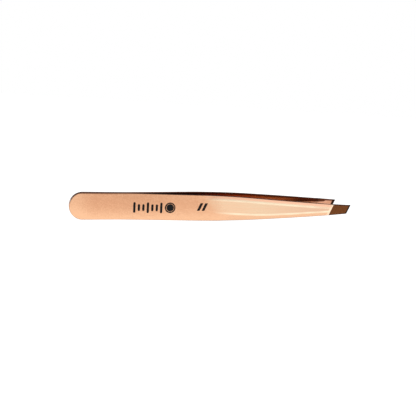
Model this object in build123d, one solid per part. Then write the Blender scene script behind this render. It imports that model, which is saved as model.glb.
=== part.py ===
from build123d import *
import math
import os

# Slant tweezers: two bowed leaves of spring steel, spot-welded together at the heel, with a slanted claw at
# the end of each. +X runs from the heel to the tips, Y runs across the opening with the front leaf at -Y,
# and +Z is up along the leaves' width. The tweezers lie on the leaves' lower long edges, at z = 0, and the
# origin is under the middle of their length.

# Driving dimensions, in millimetres and degrees.
overall_length = 95.0
leaf_thickness = 1.25
leaf_width = 8.35

# A leaf's shape seen from above: heel, spring root, straight stretch, bow, then parallel to the axis again.
heel_length = 12.2
root_run = 7.2
splay_angle = 5.19
straight_length = 39.6
bow_run = 26.5

# A leaf's outline seen from the side.
taper_start = 39.4
taper_radius = 330.0
taper_angle = 3.5

# The claw: ground thinner on its outer side from a slanted crease to its slanted end. A narrow land along the
# end of its inner side stands proud and meets the other claw's.
slant_angle = 23.5
claw_length = 7.45
claw_drop = 0.95
tip_half_height = 1.48
tip_thickness = 0.42
land_length = 0.8
land_step = 0.3
closed_gap = 0.04

# Spot welds between the leaves at the heel.
weld_diameter = 1.8
weld_thickness = 0.6
weld_places = (4.5, 7.5, 10.5)

# Ink on the front leaf's outer face: distances run along the leaf from the end of its spring root.
ink_thickness = 0.03
tick_first = 0.55
tick_pitch = 1.41
tick_width = 0.72
tick_heights = (3.4, 2.2, 2.2, 3.4, 2.2, 2.2, 3.4)
tick_height_above_axis = -0.2
ring_place = 11.85
ring_outer_radius = 1.7
ring_inner_radius = 1.3
dot_radius = 1.18
ring_height_above_axis = -0.1
bars_place = 22.3
bar_pitch = 1.55
bar_width = 0.9
bar_height = 2.5
bars_height_above_axis = 0.37

# Worked out from the driving dimensions.
slant = math.tan(math.radians(slant_angle))
splay_sine = math.sin(math.radians(splay_angle))
root_radius = root_run / splay_sine
bow_radius = bow_run / splay_sine
tip_middle = overall_length - tip_half_height * slant
crease_middle = tip_middle - claw_length
beyond = 1.0


def leaf_line(depth):
    """The front leaf's plan line at a depth below its inner face, from the heel to past the crease."""
    heel = Line((0, -depth), (heel_length, -depth))
    root = JernArc(heel @ 1, heel % 1, root_radius - depth, -splay_angle)
    straight = Line(root @ 1, root @ 1 + straight_length * (root % 1))
    bow = JernArc(straight @ 1, straight % 1, bow_radius + depth, splay_angle)
    parallel = Line(bow @ 1, (overall_length, (bow @ 1).Y))
    return [heel, root, straight, bow, parallel]


def closed_profile(lines_there, lines_back):
    """A face between two chains of lines that both run from the heel to the tips."""
    start = Line(lines_there[0] @ 0, lines_back[0] @ 0)
    end = Line(lines_there[-1] @ 1, lines_back[-1] @ 1)
    return make_face([*lines_there, *lines_back, start, end])


def slanted_prism(profile):
    """A plan profile swept both ways along the slant, further than the leaf is wide."""
    rise = Vector(leaf_width * slant, 0, leaf_width)
    return Solid.extrude(Pos(-rise) * profile.face(), 2 * rise)


def outline_prism():
    """The leaf's outline seen from the side: a round heel, parallel edges, a taper, and the claw's edges."""
    half_width = leaf_width / 2
    heel_round = CenterArc((half_width, 0), half_width, 90, 90)
    edge = Line((half_width, half_width), (taper_start, half_width))
    shoulder = JernArc(edge @ 1, edge % 1, taper_radius, -taper_angle)
    to_crease = (crease_middle - (shoulder @ 1).X) / (shoulder % 1).X
    taper = Line(shoulder @ 1, shoulder @ 1 + to_crease * (shoulder % 1))
    to_tip = Vector(overall_length, tip_half_height) - taper @ 1
    claw_edge = Line(taper @ 1, taper @ 1 + (1 + beyond / to_tip.X) * to_tip)
    upper = Curve() + [heel_round, edge, shoulder, taper, claw_edge]
    lower = mirror(upper, about=Plane.XZ)
    end = Line(claw_edge @ 1, (claw_edge @ 1).X * Vector(1, 0) - (claw_edge @ 1).Y * Vector(0, 1))
    side = make_face([*upper.edges(), *lower.edges(), end])
    return extrude(Plane.XZ * side, leaf_width * 2, both=True)


def hinge_point():
    """The middle of the front leaf's spring root, about which its arm swings."""
    radius = root_radius - leaf_thickness / 2
    half_turn = math.radians(splay_angle / 2)
    return Vector(heel_length + radius * math.sin(half_turn), radius * math.cos(half_turn) - root_radius)


def closing_angle(land_end):
    """How far the front arm swings before its land is half the closed gap from the middle."""
    arm = land_end - hinge_point()
    reach = math.hypot(arm.X, arm.Y)
    wanted = -closed_gap / 2 - hinge_point().Y
    return math.asin(wanted / reach) - math.atan2(arm.Y, arm.X)


def claw_profile():
    """The front claw's plan profile at the middle of its height. Its land lies square when it is closed."""
    inner = (leaf_line(0)[-1] @ 1).Y
    outer = inner - leaf_thickness
    tip_outer = Vector(tip_middle, outer + claw_drop)
    land_end = tip_outer + Vector(0, tip_thickness)
    swing = closing_angle(land_end)
    land_start = land_end - land_length * Vector(math.cos(swing), -math.sin(swing))
    step_start = (land_start.X - land_step, inner)
    corners = [(crease_middle, inner), (crease_middle, outer), tip_outer, land_end, land_start, step_start]
    return make_face(Polyline(*corners, close=True)), math.degrees(swing)


def front_leaf():
    """The whole front leaf, heel to claw, and the angle that closes it."""
    strip = extrude(closed_profile(leaf_line(0), leaf_line(leaf_thickness)), leaf_width, both=True)
    behind_crease = Pos(crease_middle - overall_length, 0) * Rectangle(2 * overall_length, 4 * leaf_width)
    claw, swing = claw_profile()
    blank = (strip & slanted_prism(behind_crease)) + slanted_prism(claw)
    leaf = blank & outline_prism()
    return leaf, swing


def weld_nuggets():
    """The fused spots that hold the two heels together, half in each leaf."""
    nugget = extrude(Plane.XZ * Circle(weld_diameter / 2), weld_thickness / 2, both=True)
    return Compound(children=[Pos(place, 0) * nugget for place in weld_places])


def ink_plane():
    """The front leaf's outer face at the end of its spring root, with x along the leaf and y up."""
    root = leaf_line(leaf_thickness)[1]
    along = root % 1
    return Plane(origin=root @ 1, x_dir=along, z_dir=(along.Y, -along.X, 0))


def ink_ticks():
    """A row of upright round-ended ticks, long and short like a scale's."""
    ticks = Sketch()
    for index, height in enumerate(tick_heights):
        place = Pos(tick_first + index * tick_pitch, tick_height_above_axis)
        ticks += place * Rot(Z=90) * SlotOverall(height, tick_width)
    return extrude(ink_plane() * ticks, ink_thickness)


def ink_target():
    """A dot inside a ring."""
    target = Circle(ring_outer_radius) - Circle(ring_inner_radius) + Circle(dot_radius)
    return extrude(ink_plane() * Pos(ring_place, ring_height_above_axis) * target, ink_thickness)


def ink_slant_bars():
    """Two leaning bars, at the slant of the tips."""
    lean = bar_height / 2 * slant
    half = bar_width / 2
    corners = [(-half - lean, -bar_height / 2), (half - lean, -bar_height / 2)]
    corners += [(half + lean, bar_height / 2), (-half + lean, bar_height / 2)]
    bar = make_face(Polyline(*corners, close=True))
    bars = Pos(-bar_pitch / 2, 0) * bar + Pos(bar_pitch / 2, 0) * bar
    return extrude(ink_plane() * Pos(bars_place, bars_height_above_axis) * bars, ink_thickness)


def build():
    """Every node's solids, in the part's own frame."""
    leaf, swing = front_leaf()
    root_end = leaf_line(0)[1]
    root_start = Plane(origin=(heel_length, 0), z_dir=(1, 0, 0))
    arm_start = Plane(origin=root_end @ 1, z_dir=root_end % 1)
    heel = split(leaf, bisect_by=root_start, keep=Keep.BOTTOM)
    beyond_heel = split(leaf, bisect_by=root_start, keep=Keep.TOP)
    nuggets = weld_nuggets()
    nodes = {
        "front_heel": heel - nuggets,
        "front_spring_root": split(beyond_heel, bisect_by=arm_start, keep=Keep.BOTTOM),
        "front_arm": split(beyond_heel, bisect_by=arm_start, keep=Keep.TOP),
    }
    for name in list(nodes):
        nodes[name.replace("front", "rear")] = mirror(nodes[name], about=Plane.XZ)
    nodes["weld_nuggets"] = nuggets
    nodes["ink_ticks"] = ink_ticks()
    nodes["ink_target"] = ink_target()
    nodes["ink_slant_bars"] = ink_slant_bars()
    to_part_frame = Pos(-overall_length / 2, 0, leaf_width / 2)
    hinge = to_part_frame * Pos(hinge_point())
    print("front hinge", hinge.position, "closing angle", round(swing, 4))
    return {name: to_part_frame * node for name, node in nodes.items()}


os.makedirs("parts", exist_ok=True)
for name, node in build().items():
    export_step(node, f"parts/{name}.step")
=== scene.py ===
import math

import bpy
import numpy as np
from mathutils import Matrix, Vector


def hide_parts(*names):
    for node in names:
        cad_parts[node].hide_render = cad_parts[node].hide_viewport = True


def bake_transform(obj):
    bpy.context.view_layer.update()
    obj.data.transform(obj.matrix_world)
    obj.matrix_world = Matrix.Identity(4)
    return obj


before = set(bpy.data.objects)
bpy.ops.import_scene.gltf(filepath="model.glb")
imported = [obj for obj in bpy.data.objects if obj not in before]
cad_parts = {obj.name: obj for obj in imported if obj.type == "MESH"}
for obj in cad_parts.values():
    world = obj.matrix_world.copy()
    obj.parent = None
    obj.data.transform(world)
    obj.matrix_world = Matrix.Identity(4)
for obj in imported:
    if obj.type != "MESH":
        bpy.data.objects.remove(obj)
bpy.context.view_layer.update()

# Slant tweezers. Each leaf is one closed mesh that replaces its three CAD nodes, and its shape curves outward
# at its spring root.
# Sizes are in millimetres and angles in radians. u runs along a leaf from the heel's end to the tips, v is
# the height above its centre line, and y is the distance out from the plane between the leaves.
MM = 0.001

# The CAD leaves' own dimensions.
LENGTH, THICK, WIDTH = 95.0, 1.25, 8.35
HEEL, ROOT_RUN, STRAIGHT, BOW_RUN = 12.2, 7.2, 39.6, 26.5
SPLAY = math.radians(5.19)
TAPER_START, TAPER_RADIUS = 39.4, 330.0
TAPER = math.radians(3.5)
SLANT = math.tan(math.radians(23.5))
CLAW, CLAW_DROP = 7.45, 0.95
TIP_HALF, TIP_THICK = 1.48, 0.42
LAND, LAND_STEP = 0.8, 0.3
CLOSING = math.radians(3.62)
TIP_MIDDLE = LENGTH - TIP_HALF * SLANT
CREASE = TIP_MIDDLE - CLAW
ROOT_RADIUS = ROOT_RUN / math.sin(SPLAY)
BOW_RADIUS = BOW_RUN / math.sin(SPLAY)

# Finish details that only these leaves have. All of them cut into the CAD shape.
EDGE_ROUND, CLAW_ROUND, TIP_ROUND = 0.16, 0.06, 0.04
ROUND_SHRINKING, TIP_REACH = 0.6 * CLAW, 1.0
CROWN_START, CROWN_DROP = 0.6, 0.13
CROWN_EASED, CROWN_EASING, CROWN_EASED_SHARE = 24.0, 16.0, 0.6
CROWN_END, CROWN_ENDING = CREASE - 6.0, 3.0
GRIND_START, GRIND_RAMP, GRIND_LEAN = 43.6, 4.0, 0.7
UPPER_RIDGE_INSET, LOWER_RIDGE_INSET = 1.25, 1.4
LOWER_RIDGE_FAN, LOWER_RIDGE_TURN, LOWER_RIDGE_TURNING = 0.08, 62.0, 3.0
UPPER_FACET = math.tan(math.radians(9))
LOWER_FACET = math.tan(math.radians(6))
RIDGE_SOFT = 0.16
CREASE_BAND, CREASE_BAND_DROP, CREASE_BAND_SOFT = 0.9, 0.06, 0.1
CLAW_SOFT = 0.12
TIP_BEVEL, TIP_BEVEL_DROP, TIP_BEVEL_SOFT = 0.5, 0.12, 0.06


# The leaf's shape.
def soft_ramp(x, softness):
    """Zero below 0 and x above it, rounded over the softness."""
    return 0.5 * (x + np.sqrt(x * x + softness * softness))


def ease(x):
    """0 below 0, 1 above 1, and smooth between them."""
    x = np.clip(x, 0, 1)
    return x * x * (3 - 2 * x)


def past_crease(u, v):
    """How far a point lies beyond the slanted crease."""
    return u - SLANT * v - CREASE


def plan_line(u, depth):
    """How far the leaf's face at a depth under its inner face lies from the middle plane, at each u."""
    root_radius = ROOT_RADIUS - depth
    bow_radius = BOW_RADIUS + depth
    root_end = HEEL + root_radius * math.sin(SPLAY)
    root_y = ROOT_RADIUS - root_radius * math.cos(SPLAY)
    bow_start = root_end + STRAIGHT * math.cos(SPLAY)
    bow_y = root_y + STRAIGHT * math.sin(SPLAY)
    bow_end = bow_start + bow_radius * math.sin(SPLAY)
    end_y = bow_y + bow_radius * (1 - math.cos(SPLAY))
    on_root = np.clip(u - HEEL, 0, root_radius * math.sin(SPLAY))
    on_bow = np.clip(bow_end - u, 0, bow_radius * math.sin(SPLAY))
    root = ROOT_RADIUS - np.sqrt(root_radius**2 - on_root**2)
    straight = root_y + (u - root_end) * math.tan(SPLAY)
    bow = end_y - bow_radius + np.sqrt(bow_radius**2 - on_bow**2)
    return np.where(u < root_end, root, np.where(u < bow_start, straight, bow))


def half_width(u):
    """Half the leaf's width at each u, past its round end."""
    half = WIDTH / 2
    shoulder_run = TAPER_RADIUS * math.sin(TAPER)
    shoulder_end = TAPER_START + shoulder_run
    on_shoulder = np.clip(u - TAPER_START, 0, shoulder_run)
    shoulder = half - TAPER_RADIUS + np.sqrt(TAPER_RADIUS**2 - on_shoulder**2)
    tapered = shoulder - np.clip(u - shoulder_end, 0, None) * math.tan(TAPER)
    at_crease = half - TAPER_RADIUS * (1 - math.cos(TAPER)) - (CREASE - shoulder_end) * math.tan(TAPER)
    along_claw = (u - CREASE) / (LENGTH - CREASE)
    return np.where(u > CREASE, at_crease + (TIP_HALF - at_crease) * along_claw, tapered)


def ridges(u):
    """The heights of the two lengthwise ridges between the ground facets."""
    narrowing = np.minimum(half_width(u) / half_width(CREASE), 1)
    upper = half_width(u) - UPPER_RIDGE_INSET * narrowing
    before_turn = LOWER_RIDGE_TURN - np.clip(u, GRIND_START, None)
    fan = LOWER_RIDGE_FAN * soft_ramp(before_turn, LOWER_RIDGE_TURNING)
    lower = LOWER_RIDGE_INSET * narrowing + fan - half_width(u)
    return upper, lower


def crown(u, v):
    """How much the handle's rounded outer face falls away towards its long edges."""
    from_middle = np.clip(np.abs(v) - CROWN_START, 0, None) / (WIDTH / 2 - CROWN_START)
    easing = 1 - CROWN_EASED_SHARE * ease((u - CROWN_EASED) / CROWN_EASING)
    return CROWN_DROP * from_middle**2 * easing * (1 - ease((u - CROWN_END) / CROWN_ENDING))


def outer_face(u, v):
    """The outer face's distance from the middle plane, with the ground facets, crease and claw."""
    past = past_crease(u, v)
    upper, lower = ridges(u)
    facets = UPPER_FACET * soft_ramp(v - upper, RIDGE_SOFT) + LOWER_FACET * soft_ramp(lower - v, RIDGE_SOFT)
    begun = ease((u + GRIND_LEAN * v - GRIND_START) / GRIND_RAMP)
    ended = ease((past + CREASE_BAND) / CREASE_BAND)
    face = plan_line(u, THICK) - facets * begun * (1 - ended) - crown(u, v)
    band = CREASE_BAND_DROP / CREASE_BAND * soft_ramp(past + CREASE_BAND, CREASE_BAND_SOFT)
    face -= np.where(past < 0, band, 0)
    face -= np.where(past > 0, CREASE_BAND_DROP, 0)
    claw = (CLAW_DROP - CREASE_BAND_DROP) * soft_ramp(past, CLAW_SOFT) / CLAW
    bevel = TIP_BEVEL_DROP / TIP_BEVEL * soft_ramp(past - CLAW + TIP_BEVEL, TIP_BEVEL_SOFT)
    return face - claw - bevel


def inner_face(u, v):
    """The inner face's distance from the middle plane, with the claw's inner side and its gripping land."""
    past = past_crease(u, v)
    tip_inner, tip_outer = (float(plan_line(LENGTH, depth)) for depth in (0, THICK))
    land_end = tip_outer - CLAW_DROP - TIP_THICK
    land_start = land_end - LAND * math.sin(CLOSING)
    step_slope = (tip_inner - land_start) / LAND_STEP
    past_step = past - CLAW + LAND * math.cos(CLOSING) + LAND_STEP
    land = land_end - math.tan(CLOSING) * (CLAW - past)
    before_land = plan_line(u, 0) - step_slope * np.clip(past_step, 0, None)
    return np.where(past_step > LAND_STEP, land, before_land)


# The leaf's mesh: a grid on each face, joined around the outline by rounded edges.
# The grid's rows. A number's whole part says which two lengthwise lines the row lies between, and the rest
# how far it is from the first to the second. The lines are the lower edge, one under and one over the lower
# ridge, one under and one over the upper ridge, and the upper edge.
ROW_STEPS = np.array([
    0, 0.03, 0.2, 0.45, 0.7, 0.95,
    1, 1.2, 1.35, 1.5, 1.65, 1.8,
    2, 2.03, 2.15, 2.3, 2.45, 2.55, 2.7, 2.85, 2.97,
    3, 3.2, 3.35, 3.5, 3.65, 3.8,
    4, 4.05, 4.3, 4.55, 4.8, 4.97, 5,
])
ROUND_STEPS = 5
CAP_STEPS = 11
CAP_ARC = math.radians(60)
# The grid's columns: even stretches, as (start, end, count), and closer ones at the crease, the land and the
# bevelled end.
STRETCHES = (
    (WIDTH / 2, HEEL, 8),
    (HEEL, HEEL + ROOT_RUN, 14),
    (HEEL + ROOT_RUN, 40.0, 9),
    (40.0, 54.0, 40),
    (54.0, CREASE - 2.0, 50),
)
NEAR_CREASE = (-1.5, -1.1, -0.95, -0.85, -0.6, -0.3, -0.16, -0.08, -0.03, 0, 0.03, 0.08, 0.16, 0.3)
NEAR_LAND = (-LAND_STEP - 0.03, -LAND_STEP, -LAND_STEP + 0.03, -0.15, -0.03, 0, 0.03)
NEAR_BEVEL = (-0.12, -0.05, 0, 0.05, 0.12)
NEAR_TIP = (-0.2, -0.08)
CLAW_COLUMNS = 14
# The columns start to lean at one place, and lean as much as the crease at the other.
LEAN_START, LEAN_END = 60.0, CREASE - 1.5
LEAN_PASSES = 6


def columns():
    """The grid's columns past the round end: each one's place at mid height, and how much it leans."""
    bevel = CREASE + CLAW - TIP_BEVEL
    land = CREASE + CLAW - LAND * math.cos(CLOSING)
    claw_start, claw_end = CREASE + 0.6, land - LAND_STEP - 0.3
    places = [np.linspace(*stretch) for stretch in STRETCHES]
    places += [CREASE + np.array(NEAR_CREASE), np.linspace(claw_start, claw_end, CLAW_COLUMNS)]
    places += [land + np.array(NEAR_LAND), bevel + np.array(NEAR_BEVEL), CREASE + CLAW + np.array(NEAR_TIP)]
    place = np.unique(np.round(np.concatenate(places), 4))
    lean = SLANT * ease((place - LEAN_START) / (LEAN_END - LEAN_START))
    return place, lean


def edge_round(u):
    """The radius of the long edges' rounding, which shrinks along the thin claw."""
    return EDGE_ROUND + (CLAW_ROUND - EDGE_ROUND) * ease((u - CREASE) / ROUND_SHRINKING)


def row_heights(u, inset):
    """The height of each grid point at its own u. inset is how far inside the outline the outer rows are."""
    upper, lower = ridges(u)
    edge = half_width(u) - inset
    lines = [-edge, lower - RIDGE_SOFT, lower + RIDGE_SOFT, upper - RIDGE_SOFT, upper + RIDGE_SOFT, edge]
    lines = np.stack(lines)
    first = np.minimum(ROW_STEPS.astype(int), len(lines) - 2)
    share = ROW_STEPS - first
    row = np.arange(len(ROW_STEPS))
    return lines[first, :, row].T * (1 - share) + lines[first + 1, :, row].T * share


def round_end(row_share, inset):
    """u and v of the round end's columns: arcs that flatten out towards the first straight column."""
    half = WIDTH / 2
    end_u, end_v = [], []
    for along in np.linspace(0, 1, CAP_STEPS + 1)[:-1]:
        top = CAP_ARC + (math.pi / 2 - CAP_ARC) * along
        top_u = half - (half - inset) * math.cos(top)
        top_v = (half - inset) * math.sin(top)
        middle = inset + along * (half - inset)
        rise = top_u - middle
        radius = (top_v**2 + rise**2) / (2 * rise)
        turn = row_share * math.asin(top_v / radius)
        end_u.append(middle + radius * (1 - np.cos(turn)))
        end_v.append(radius * np.sin(turn))
    return np.array(end_u), np.array(end_v)


def face_grid(cut):
    """u and v of every grid point. cut is how far inside the outline the grid ends, in rounding radii."""
    place, lean = columns()
    place = np.append(place, TIP_MIDDLE - cut * TIP_ROUND)[:, None]
    lean = np.append(lean, SLANT)[:, None]
    u = place + np.zeros(len(ROW_STEPS))
    for _ in range(LEAN_PASSES):
        v = row_heights(u, cut * edge_round(place))
        u = place + lean * v
    end_u, end_v = round_end(v[0] / v[0, -1], cut * EDGE_ROUND)
    return np.vstack([end_u, u]), np.vstack([end_v, v])


def boundary(grid):
    """The grid's outer points in order round the outline."""
    return np.concatenate([grid[:, 0], grid[-1, 1:], grid[-2::-1, -1], grid[0, -2:0:-1]])


def edge_layer(face, turn, way):
    """A ring of the rounded edge, a turn away from its face. way is 1 if it lies further out, or else -1."""
    u, v = (boundary(grid) for grid in face_grid(1 - math.sin(turn)))
    full_u = boundary(face_grid(1)[0])
    radius = np.where(full_u > TIP_MIDDLE - TIP_REACH, TIP_ROUND, edge_round(full_u))
    return np.stack([u, face(u, v) + way * radius * (1 - math.cos(turn)), v], -1)


def leaf_layers():
    """The leaf's points in layers: the outer face, the rings round the edge, and the inner face."""
    u, v = face_grid(1)
    turns = np.linspace(0, math.pi / 2, ROUND_STEPS + 1)[1:]
    layers = [np.stack([u, outer_face(u, v), v], -1).reshape(-1, 3)]
    layers += [edge_layer(outer_face, turn, -1) for turn in turns]
    layers += [edge_layer(inner_face, turn, 1) for turn in turns[::-1]]
    layers += [np.stack([u, inner_face(u, v), v], -1).reshape(-1, 3)]
    return layers, np.arange(u.size).reshape(u.shape)


def leaf_quads(layers, grid):
    """The leaf's faces as point numbers, the outer face's first, then the inner face's, then the edge's."""
    starts = np.cumsum([0] + [len(layer) for layer in layers])
    inner_start = starts[-2]
    quads = []
    for numbers, way in ((grid, 1), (inner_start + grid, -1)):
        corners = [numbers[:-1, :-1], numbers[1:, :-1], numbers[1:, 1:], numbers[:-1, 1:]]
        quads.append(np.stack(corners, -1).reshape(-1, 4)[:, ::way])
    rings = [np.arange(start, end) for start, end in zip(starts[1:-2], starts[2:-1])]
    rings = [boundary(grid), *rings, inner_start + boundary(grid)]
    for ring, following in zip(rings[:-1], rings[1:]):
        quads.append(np.stack([ring, following, np.roll(following, -1), np.roll(ring, -1)], -1))
    return np.concatenate(quads)


def store(mesh, name, x, y, z):
    """Keep three numbers on each of the mesh's points for its materials to read."""
    attribute = mesh.attributes.new(name, "FLOAT_VECTOR", "POINT")
    attribute.data.foreach_set("vector", np.stack([x, y, z], -1).astype(np.float32).ravel())


def leaf_mesh(name, side, materials):
    """A leaf as one closed mesh. side is -1 for the front leaf and 1 for the rear one. The materials are for
    its outer face, for the claw's outer face, and for the rest."""
    layers, grid = leaf_layers()
    u, y, v = np.concatenate(layers).T
    quads = leaf_quads(layers, grid)
    if side > 0:
        quads = quads[:, ::-1]
    places = np.stack([u - LENGTH / 2, side * y, v + WIDTH / 2], -1) * MM
    mesh = bpy.data.meshes.new(name)
    mesh.from_pydata(places.tolist(), [], quads.tolist())
    upper, lower = ridges(u)
    past = past_crease(u, v)
    store(mesh, "leaf_place", u, v, half_width(u) - np.abs(v))
    store(mesh, "leaf_lines", v - upper, v - lower, past)
    mesh.shade_smooth()
    for material in materials:
        mesh.materials.append(material)
    # The outer grid's points come first, and a face that has any of them is part of the outer face.
    outward = (quads < grid.size).any(1)
    on_claw = past[quads].mean(1) > 0
    mesh.polygons.foreach_set("material_index", np.where(outward, on_claw, 2).astype(np.int32))
    mesh.update()
    leaf = bpy.data.objects.new(name, mesh)
    bpy.context.scene.collection.objects.link(leaf)
    return leaf


# Materials.
class Nodes:
    """Short calls to add and join the nodes of a material or a world."""

    def __init__(self, owner):
        self.owner = owner
        owner.use_nodes = True
        self.tree = owner.node_tree
        self.shader = self.tree.nodes.get("Principled BSDF")

    def add(self, kind, **settings):
        node = self.tree.nodes.new("ShaderNode" + kind)
        for key, value in settings.items():
            setattr(node, key, value)
        return node

    def join(self, value, socket):
        """Link a node's output to a socket, or set the socket to a number or colour."""
        if isinstance(value, bpy.types.NodeSocket):
            self.tree.links.new(value, socket)
        else:
            socket.default_value = value

    def math(self, operation, a, b=0.0, clamp=False):
        node = self.add("Math", operation=operation, use_clamp=clamp)
        self.join(a, node.inputs[0])
        self.join(b, node.inputs[1])
        return node.outputs[0]

    def plus(self, a, b, clamp=False):
        return self.math("ADD", a, b, clamp)

    def times(self, a, b, clamp=False):
        return self.math("MULTIPLY", a, b, clamp)

    def larger(self, a, b):
        return self.math("MAXIMUM", a, b)

    def size(self, value):
        return self.math("ABSOLUTE", value)

    def step(self, value, low, high):
        """0 at low, 1 at high, and eased between them. low may be the larger."""
        node = self.add("MapRange", interpolation_type="SMOOTHSTEP")
        self.join(value, node.inputs["Value"])
        node.inputs["From Min"].default_value = low
        node.inputs["From Max"].default_value = high
        return node.outputs["Result"]

    def scale(self, value, low, high):
        """A number from 0 to 1 spread from low to high."""
        node = self.add("MapRange")
        self.join(value, node.inputs["Value"])
        node.inputs["To Min"].default_value = low
        node.inputs["To Max"].default_value = high
        return node.outputs["Result"]

    def mix(self, share, a, b):
        node = self.add("Mix", data_type="RGBA")
        self.join(share, node.inputs[0])
        self.join(a, node.inputs[6])
        self.join(b, node.inputs[7])
        return node.outputs[2]

    def noise(self, vector, scale, detail=2.0, roughness=0.5):
        node = self.add("TexNoise")
        self.join(vector, node.inputs["Vector"])
        node.inputs["Scale"].default_value = scale
        node.inputs["Detail"].default_value = detail
        node.inputs["Roughness"].default_value = roughness
        return node.outputs["Fac"]

    def leaf_noise(self, u, v, along, across, detail=3.0, roughness=0.5, offset=0.0):
        """Noise with its own number of features per millimetre along a leaf and across it."""
        vector = self.add("CombineXYZ")
        for value, socket in zip((self.times(u, along), self.times(v, across), offset), vector.inputs):
            self.join(value, socket)
        return self.noise(vector.outputs[0], 1.0, detail, roughness)

    def stored(self, name):
        """Three numbers stored on the leaf's points, in millimetres."""
        split = self.add("SeparateXYZ")
        self.join(self.add("Attribute", attribute_name=name).outputs["Vector"], split.inputs[0])
        return split.outputs[0], split.outputs[1], split.outputs[2]

    def bump(self, height, strength, depth):
        """Relief from a height, as deep as depth millimetres."""
        node = self.add("Bump")
        self.join(height, node.inputs["Height"])
        node.inputs["Strength"].default_value = strength
        node.inputs["Distance"].default_value = depth * MM
        return node.outputs[0]

    def finish(self, colour, roughness, normal=None, metallic=1.0):
        """Join the finished colour, roughness and relief to the shader, and give back the material."""
        self.join(colour, self.shader.inputs["Base Color"])
        self.join(roughness, self.shader.inputs["Roughness"])
        self.shader.inputs["Metallic"].default_value = metallic
        if normal is not None:
            self.join(normal, self.shader.inputs["Normal"])
        return self.owner


# Rose-gold plating: blasted satin on the handle, brushing and facets towards the tips. Painted highlights,
# reflection and shade lie in its colours.
SATIN = (0.69, 0.347, 0.194, 1)
SATIN_LIGHT = (0.89, 0.53, 0.32, 1)
BRUSHED = (0.76, 0.55, 0.365, 1)
BRUSHED_WARM = (0.78, 0.51, 0.33, 1)
BRUSHED_END = (0.70, 0.44, 0.295, 1)
# Painted light: the upper facet lighter and the lower facet darker than the brushing, as light falls on them.
FACET_HIGHLIGHT = (0.95, 0.55, 0.37, 1)
LOWER_FACET_SHADE = (0.78, 0.467, 0.288, 1)
# Painted highlight along the ridges and on the band at the crease.
PAINTED_HIGHLIGHT = (0.88, 0.74, 0.53, 1)
# Painted shade along the handle's upper edge.
RIM_SHADE = (0.14, 0.06, 0.035, 1)
# Painted reflection and shade: the satin is darkest at one height and lightens with the square of the
# distance from it, most towards the lower edge.
SATIN_SHADE_HEIGHT, SATIN_REFLECTION_LIGHTENING = 1.8, 0.031
# Where the finish and its painted light change along the leaf, each time from the first place to the second.
HEEL_LIGHTENS = (8.0, 1.0)
HANDLE_LIGHTENS = (22.0, 36.0)
GRINDING_STARTS = (GRIND_START - 2.0, GRIND_START + 7.0)
BRUSHING_DARKENS = (54.0, 88.0)
LINES_START = (GRIND_START, GRIND_START + 8.0)
UPPER_LINE_FADES = (78.0, 84.0)
RIM_DARKENS = (21.0, 12.0)
BAND_STARTS = (-CREASE_BAND - 0.1, -CREASE_BAND + 0.15)
# Where it changes across the leaf, as distances from a ridge or from the outline.
FACET_BLEND = 0.25
UPPER_LINE_EDGE = (0.65, 0.12)
LOWER_LINE_EDGE = (0.50, 0.10)
RIM_EDGE = (0.42, 0.2)
# Where the rim starts and is full, as heights.
RIM_HEIGHT = (0.0, 2.0)


def satin_colour(nodes, u, v, mottle, speck):
    """The handle's colour: mottled and speckled, lighter at the heel's end and towards the tips, with a
    painted reflection that is darkest at one height and lightest towards the lower edge.
    """
    # Painted reflection and shade: lighter with the distance from one height.
    from_shade_height = nodes.math("SUBTRACT", v, SATIN_SHADE_HEIGHT)
    tone = nodes.times(nodes.times(from_shade_height, from_shade_height), SATIN_REFLECTION_LIGHTENING)
    tone = nodes.plus(tone, nodes.scale(mottle, -0.15, 0.45))
    tone = nodes.plus(tone, nodes.scale(speck, -0.8, 0.8))
    tone = nodes.plus(tone, nodes.times(nodes.step(u, *HEEL_LIGHTENS), 0.55))
    tone = nodes.plus(tone, nodes.times(nodes.step(u, *HANDLE_LIGHTENS), 0.15), clamp=True)
    return nodes.mix(tone, SATIN, SATIN_LIGHT)


def brushed_colour(nodes, u, v, speck, above_upper, above_lower, past):
    """The ground part's colour: wide streaks, painted light on the upper facet and painted shade on the lower
    one, and a speckled painted highlight band at the crease.
    """
    wide_streak = nodes.leaf_noise(u, v, along=0.07, across=2.2, detail=2.0, offset=3.0)
    colour = nodes.mix(nodes.step(wide_streak, 0.35, 0.7), BRUSHED, BRUSHED_WARM)
    colour = nodes.mix(nodes.step(u, *BRUSHING_DARKENS), colour, BRUSHED_END)
    # Painted light on the upper facet and painted shade on the lower one.
    colour = nodes.mix(nodes.step(above_upper, 0.0, FACET_BLEND), colour, FACET_HIGHLIGHT)
    colour = nodes.mix(nodes.step(above_lower, 0.0, -FACET_BLEND), colour, LOWER_FACET_SHADE)
    # Painted highlight on the band before the crease.
    band_highlight = nodes.mix(nodes.step(speck, 0.4, 0.6), FACET_HIGHLIGHT, PAINTED_HIGHLIGHT)
    return nodes.mix(nodes.step(past, *BAND_STARTS), colour, band_highlight)


def ridge_highlights(nodes, u, v, lean, above_upper, above_lower):
    """How much painted highlight each point gets along the two ridges, in patches. The upper one fades near
    the crease.
    """
    patch = nodes.leaf_noise(u, v, along=0.22, across=1.0, roughness=0.6, offset=7.0)
    upper = nodes.step(nodes.size(above_upper), *UPPER_LINE_EDGE)
    upper = nodes.times(upper, nodes.scale(nodes.step(u, *UPPER_LINE_FADES), 1.0, 0.5))
    lower = nodes.step(nodes.size(above_lower), *LOWER_LINE_EDGE)
    line = nodes.times(nodes.larger(upper, lower), nodes.step(lean, *LINES_START))
    return nodes.times(line, nodes.scale(patch, 0.1, 1.5), clamp=True)


def handle_rim_shade(nodes, u, v, margin):
    """Painted shade: a darker line along the handle's upper edge, near the heel."""
    rim = nodes.times(nodes.step(margin, *RIM_EDGE), nodes.step(v, *RIM_HEIGHT))
    return nodes.times(rim, nodes.scale(nodes.step(u, *RIM_DARKENS), 0.0, 0.8))


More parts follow.
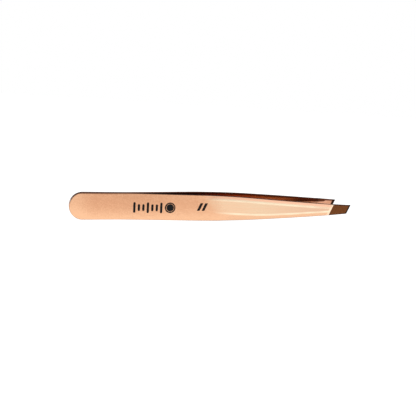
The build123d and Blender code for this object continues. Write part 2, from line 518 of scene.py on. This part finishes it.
def outer_material():
    """Bead-blasted satin on the handle, lengthwise brushing towards the tips, with painted highlights along
    the ridges and at the crease, painted light and shade on the facets, a painted reflection on the handle
    and a painted shade rim.
    """
    nodes = Nodes(bpy.data.materials.new("rose_gold_outer"))
    u, v, margin = nodes.stored("leaf_place")
    above_upper, above_lower, past = nodes.stored("leaf_lines")
    grain = nodes.leaf_noise(u, v, along=9.0, across=9.0, roughness=0.6)
    speck = nodes.leaf_noise(u, v, along=2.4, across=2.4, detail=2.0, roughness=0.7, offset=5.0)
    mottle = nodes.leaf_noise(u, v, along=0.55, across=0.9, detail=4.0, roughness=0.6)
    streak = nodes.leaf_noise(u, v, along=0.10, across=7.0, detail=4.0, roughness=0.65)
    lean = nodes.plus(u, nodes.times(v, GRIND_LEAN))
    border = nodes.plus(lean, nodes.scale(mottle, -2.5, 2.5))
    ground = nodes.step(border, *GRINDING_STARTS)
    satin = satin_colour(nodes, u, v, mottle, speck)
    brushed = brushed_colour(nodes, u, v, speck, above_upper, above_lower, past)
    line = ridge_highlights(nodes, u, v, lean, above_upper, above_lower)
    # Painted highlights along the ridges.
    colour = nodes.mix(line, nodes.mix(ground, satin, brushed), PAINTED_HIGHLIGHT)
    # Painted shade along the upper edge near the heel.
    colour = nodes.mix(handle_rim_shade(nodes, u, v, margin), colour, RIM_SHADE)
    roughness = nodes.plus(nodes.times(ground, -0.18), nodes.scale(streak, 0.36, 0.48))
    relief = nodes.bump(nodes.mix(ground, grain, streak), strength=0.25, depth=0.03)
    return nodes.finish(colour, roughness, relief)


# Painted dark reflection in place of the claw's rose gold, with painted shade on its edges and bevelled end.
CLAW_SHADED_BROWN = (0.120, 0.040, 0.012, 1)
CLAW_SHADED_WARM = (0.155, 0.054, 0.018, 1)
CLAW_EDGE_SHADE = (0.010, 0.003, 0.0025, 1)
BEVEL_DARKENS = (CLAW - TIP_BEVEL - 0.35, CLAW - TIP_BEVEL - 0.1)
CLAW_EDGE = (0.35, 0.1)


def claw_material():
    """The ground outer face of the claw: rose gold painted as a dark clouded brown reflection, with painted
    shade darker still along its edges and its bevelled end.
    """
    nodes = Nodes(bpy.data.materials.new("claw_painted_shade"))
    _, v, margin = nodes.stored("leaf_place")
    past = nodes.stored("leaf_lines")[2]
    scratch = nodes.leaf_noise(past, v, along=8.0, across=0.5)
    cloud = nodes.leaf_noise(past, v, along=1.3, across=1.6, roughness=0.6, offset=2.0)
    end = nodes.step(past, *BEVEL_DARKENS)
    edge = nodes.step(margin, *CLAW_EDGE)
    brown = nodes.mix(nodes.step(cloud, 0.3, 0.7), CLAW_SHADED_BROWN, CLAW_SHADED_WARM)
    # Painted shade along the claw's edges and bevelled end.
    colour = nodes.mix(nodes.larger(end, edge), brown, CLAW_EDGE_SHADE)
    relief = nodes.bump(scratch, strength=0.2, depth=0.02)
    return nodes.finish(colour, nodes.scale(scratch, 0.18, 0.34), relief)


# Painted shade: the rose gold darkened between the leaves, most towards the heel and along the edges.
INNER_SHADED = (0.60, 0.27, 0.12, 1)
INNER_GAP_SHADE = (0.36, 0.16, 0.09, 1)
INNER_SHADE = (0.10, 0.030, 0.014, 1)
# Painted reflection of the bright floor seen past the other leaf, in brushed streaks.
WEDGE_REFLECTION = (0.80, 0.42, 0.29, 1)
WEDGE_REFLECTION_STREAK = (0.55, 0.26, 0.15, 1)
LAND_DARK = (0.03, 0.012, 0.007, 1)
# The painted reflection, a bright wedge on the claw's inner face: half its height, and how much more that is
# past its flare.
REFLECTION_HALF, REFLECTION_FLARE_RISE = 0.72, 1.6
# Where the painted shade, the painted reflection and the dark land change along the leaf, each time from the
# first place to the second.
GAP_SHADE_FADES = (38.0, 64.0)
EDGE_DARKENS = (12.0, 40.0)
SHADE_STARTS = (72.0, 82.0)
REFLECTION_STARTS = (81.0, 92.0)
REFLECTION_FLARES = (90.0, 93.0)
LAND_DARKENS = (CLAW - LAND - 0.3, CLAW - LAND - 0.1)
# Where it changes across the leaf, as distances from the wedge's border or from the outline.
WEDGE_EDGE = (-0.25, 0.2)
DARK_EDGE = (0.9, 0.25)


def inner_material():
    """The inner faces and the long edges: copper darkened as painted shade between the leaves, darker still
    towards the heel and along the edges, a bright wedge of painted reflection at the claw, and a dark land.
    """
    nodes = Nodes(bpy.data.materials.new("rose_gold_inner"))
    u, v, margin = nodes.stored("leaf_place")
    past = nodes.stored("leaf_lines")[2]
    streak = nodes.leaf_noise(u, v, along=0.08, across=4.0)
    wedge_half = nodes.scale(nodes.step(u, *REFLECTION_FLARES), REFLECTION_HALF, REFLECTION_HALF + REFLECTION_FLARE_RISE)
    outside_wedge = nodes.math("SUBTRACT", nodes.size(v), wedge_half)
    shade = nodes.times(nodes.step(u, *SHADE_STARTS), nodes.step(outside_wedge, *WEDGE_EDGE))
    # Painted shade along the long edges, less of it near the heel.
    edge = nodes.times(nodes.step(margin, *DARK_EDGE), nodes.scale(nodes.step(u, *EDGE_DARKENS), 0.35, 1.0))
    # Painted shade between the leaves, darker towards the heel.
    colour = nodes.mix(nodes.step(u, *GAP_SHADE_FADES), INNER_GAP_SHADE, INNER_SHADED)
    # Painted reflection on the claw's inner face.
    reflection = nodes.mix(nodes.step(streak, 0.40, 0.62), WEDGE_REFLECTION_STREAK, WEDGE_REFLECTION)
    colour = nodes.mix(nodes.step(u, *REFLECTION_STARTS), colour, reflection)
    colour = nodes.mix(nodes.larger(shade, edge), colour, INNER_SHADE)
    colour = nodes.mix(nodes.step(past, *LAND_DARKENS), colour, LAND_DARK)
    relief = nodes.bump(streak, strength=0.15, depth=0.02)
    return nodes.finish(colour, nodes.scale(streak, 0.12, 0.24), relief)


INK_BLACK = (0.004, 0.004, 0.005, 1)
INK_GREY = (0.010, 0.009, 0.009, 1)


def ink_material():
    """Matt printed ink, a little uneven."""
    nodes = Nodes(bpy.data.materials.new("ink_print"))
    speckle = nodes.noise(nodes.add("TexCoord").outputs["Object"], scale=9000.0)
    nodes.shader.inputs["Specular IOR Level"].default_value = 0.12
    colour = nodes.mix(speckle, INK_BLACK, INK_GREY)
    relief = nodes.bump(speckle, strength=0.2, depth=0.01)
    return nodes.finish(colour, nodes.scale(speckle, 0.5, 0.7), relief, metallic=0.0)


STEEL_DARK = (0.35, 0.32, 0.30, 1)
STEEL_LIGHT = (0.5, 0.47, 0.44, 1)


def weld_material():
    """Fused steel, hidden between the heels."""
    nodes = Nodes(bpy.data.materials.new("weld_steel"))
    grain = nodes.noise(nodes.add("TexCoord").outputs["Object"], scale=4000.0, detail=3.0)
    return nodes.finish(nodes.mix(grain, STEEL_DARK, STEEL_LIGHT), nodes.scale(grain, 0.4, 0.6))


# The object: two leaves, and the ink and welds that keep their CAD shape.
leaf_materials = (outer_material(), claw_material(), inner_material())
for side, which in ((-1, "front"), (1, "rear")):
    leaf = leaf_mesh(which + "_leaf", side, leaf_materials)
    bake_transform(leaf)
    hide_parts(which + "_heel", which + "_spring_root", which + "_arm")

ink = ink_material()
kept_materials = {"ink_ticks": ink, "ink_target": ink, "ink_slant_bars": ink, "weld_nuggets": weld_material()}
for name, material in kept_materials.items():
    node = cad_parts[name]
    node.data.materials.clear()
    node.data.materials.append(material)


# Floor, light and camera.
FLOOR_SIZE = 6000.0
FLOOR_GREY = (0.3, 0.3, 0.3, 1)
FLOOR_GLOW = 0.97
# How bright the room's back, the left and right of its front wall, and its ceiling are.
WALL_BACK, WALL_LEFT, WALL_RIGHT, CEILING = 0.04, 0.35, 1.0, 1.0
# How far a direction must turn towards the front, the right and straight up for each to begin and be full.
FRONT_EDGE, RIGHT_EDGE, CEILING_EDGE = (0.0, 0.3), (0.0, 0.2), (0.35, 0.6)
CAMERA_PLACE = Vector((-58.9, -168.2, 38.3)) * MM
CAMERA_AIM = Vector((-2.91, 0, 3.49)) * MM
CAMERA_ROLL = math.radians(3.74)
CAMERA_LENS, CAMERA_SENSOR, CAMERA_CLIP = 47.45, 36.0, 10.0


def floor_material():
    """A white light table: lit from below as well, so almost no shadow shows on it."""
    nodes = Nodes(bpy.data.materials.new("floor_white"))
    nodes.shader.inputs["Base Color"].default_value = FLOOR_GREY
    nodes.shader.inputs["Roughness"].default_value = 0.9
    nodes.shader.inputs["Specular IOR Level"].default_value = 0.0
    nodes.shader.inputs["Emission Color"].default_value = (1, 1, 1, 1)
    nodes.shader.inputs["Emission Strength"].default_value = FLOOR_GLOW
    return nodes.owner


def add_floor():
    """A square floor that the tweezers lie on."""
    half = FLOOR_SIZE / 2 * MM
    mesh = bpy.data.meshes.new("floor")
    corners = [(half, half, 0), (-half, half, 0), (-half, -half, 0), (half, -half, 0)]
    mesh.from_pydata(corners, [], [(0, 1, 2, 3)])
    mesh.materials.append(floor_material())
    floor = bpy.data.objects.new("floor", mesh)
    bpy.context.scene.collection.objects.link(floor)


def studio_world():
    """White behind the object, and for its light a soft ceiling and front wall in a dark room."""
    nodes = Nodes(bpy.data.worlds.new("studio"))
    direction = nodes.add("SeparateXYZ")
    nodes.join(nodes.add("TexCoord").outputs["Generated"], direction.inputs[0])
    x, y, z = direction.outputs
    front = nodes.step(nodes.times(y, -1.0), *FRONT_EDGE)
    right = nodes.step(x, *RIGHT_EDGE)
    wall = nodes.times(front, nodes.scale(right, WALL_LEFT, WALL_RIGHT))
    ceiling = nodes.times(nodes.step(z, *CEILING_EDGE), CEILING)
    level = nodes.plus(nodes.larger(wall, ceiling), WALL_BACK)
    shown = nodes.mix(nodes.add("LightPath").outputs["Is Camera Ray"], level, (1, 1, 1, 1))
    nodes.join(shown, nodes.tree.nodes["Background"].inputs["Color"])
    return nodes.owner


def add_camera():
    """The camera, a little above the tweezers and to the left of their middle."""
    data = bpy.data.cameras.new("camera")
    data.lens = CAMERA_LENS
    data.sensor_width = CAMERA_SENSOR
    data.clip_start = CAMERA_CLIP * MM
    camera = bpy.data.objects.new("camera", data)
    turn = (CAMERA_AIM - CAMERA_PLACE).to_track_quat("-Z", "Y").to_matrix().to_4x4()
    camera.matrix_world = Matrix.Translation(CAMERA_PLACE) @ turn @ Matrix.Rotation(CAMERA_ROLL, 4, "Z")
    bpy.context.scene.collection.objects.link(camera)
    bpy.context.scene.camera = camera


add_floor()
bpy.context.scene.world = studio_world()
add_camera()
bpy.context.scene.view_settings.view_transform = "Standard"
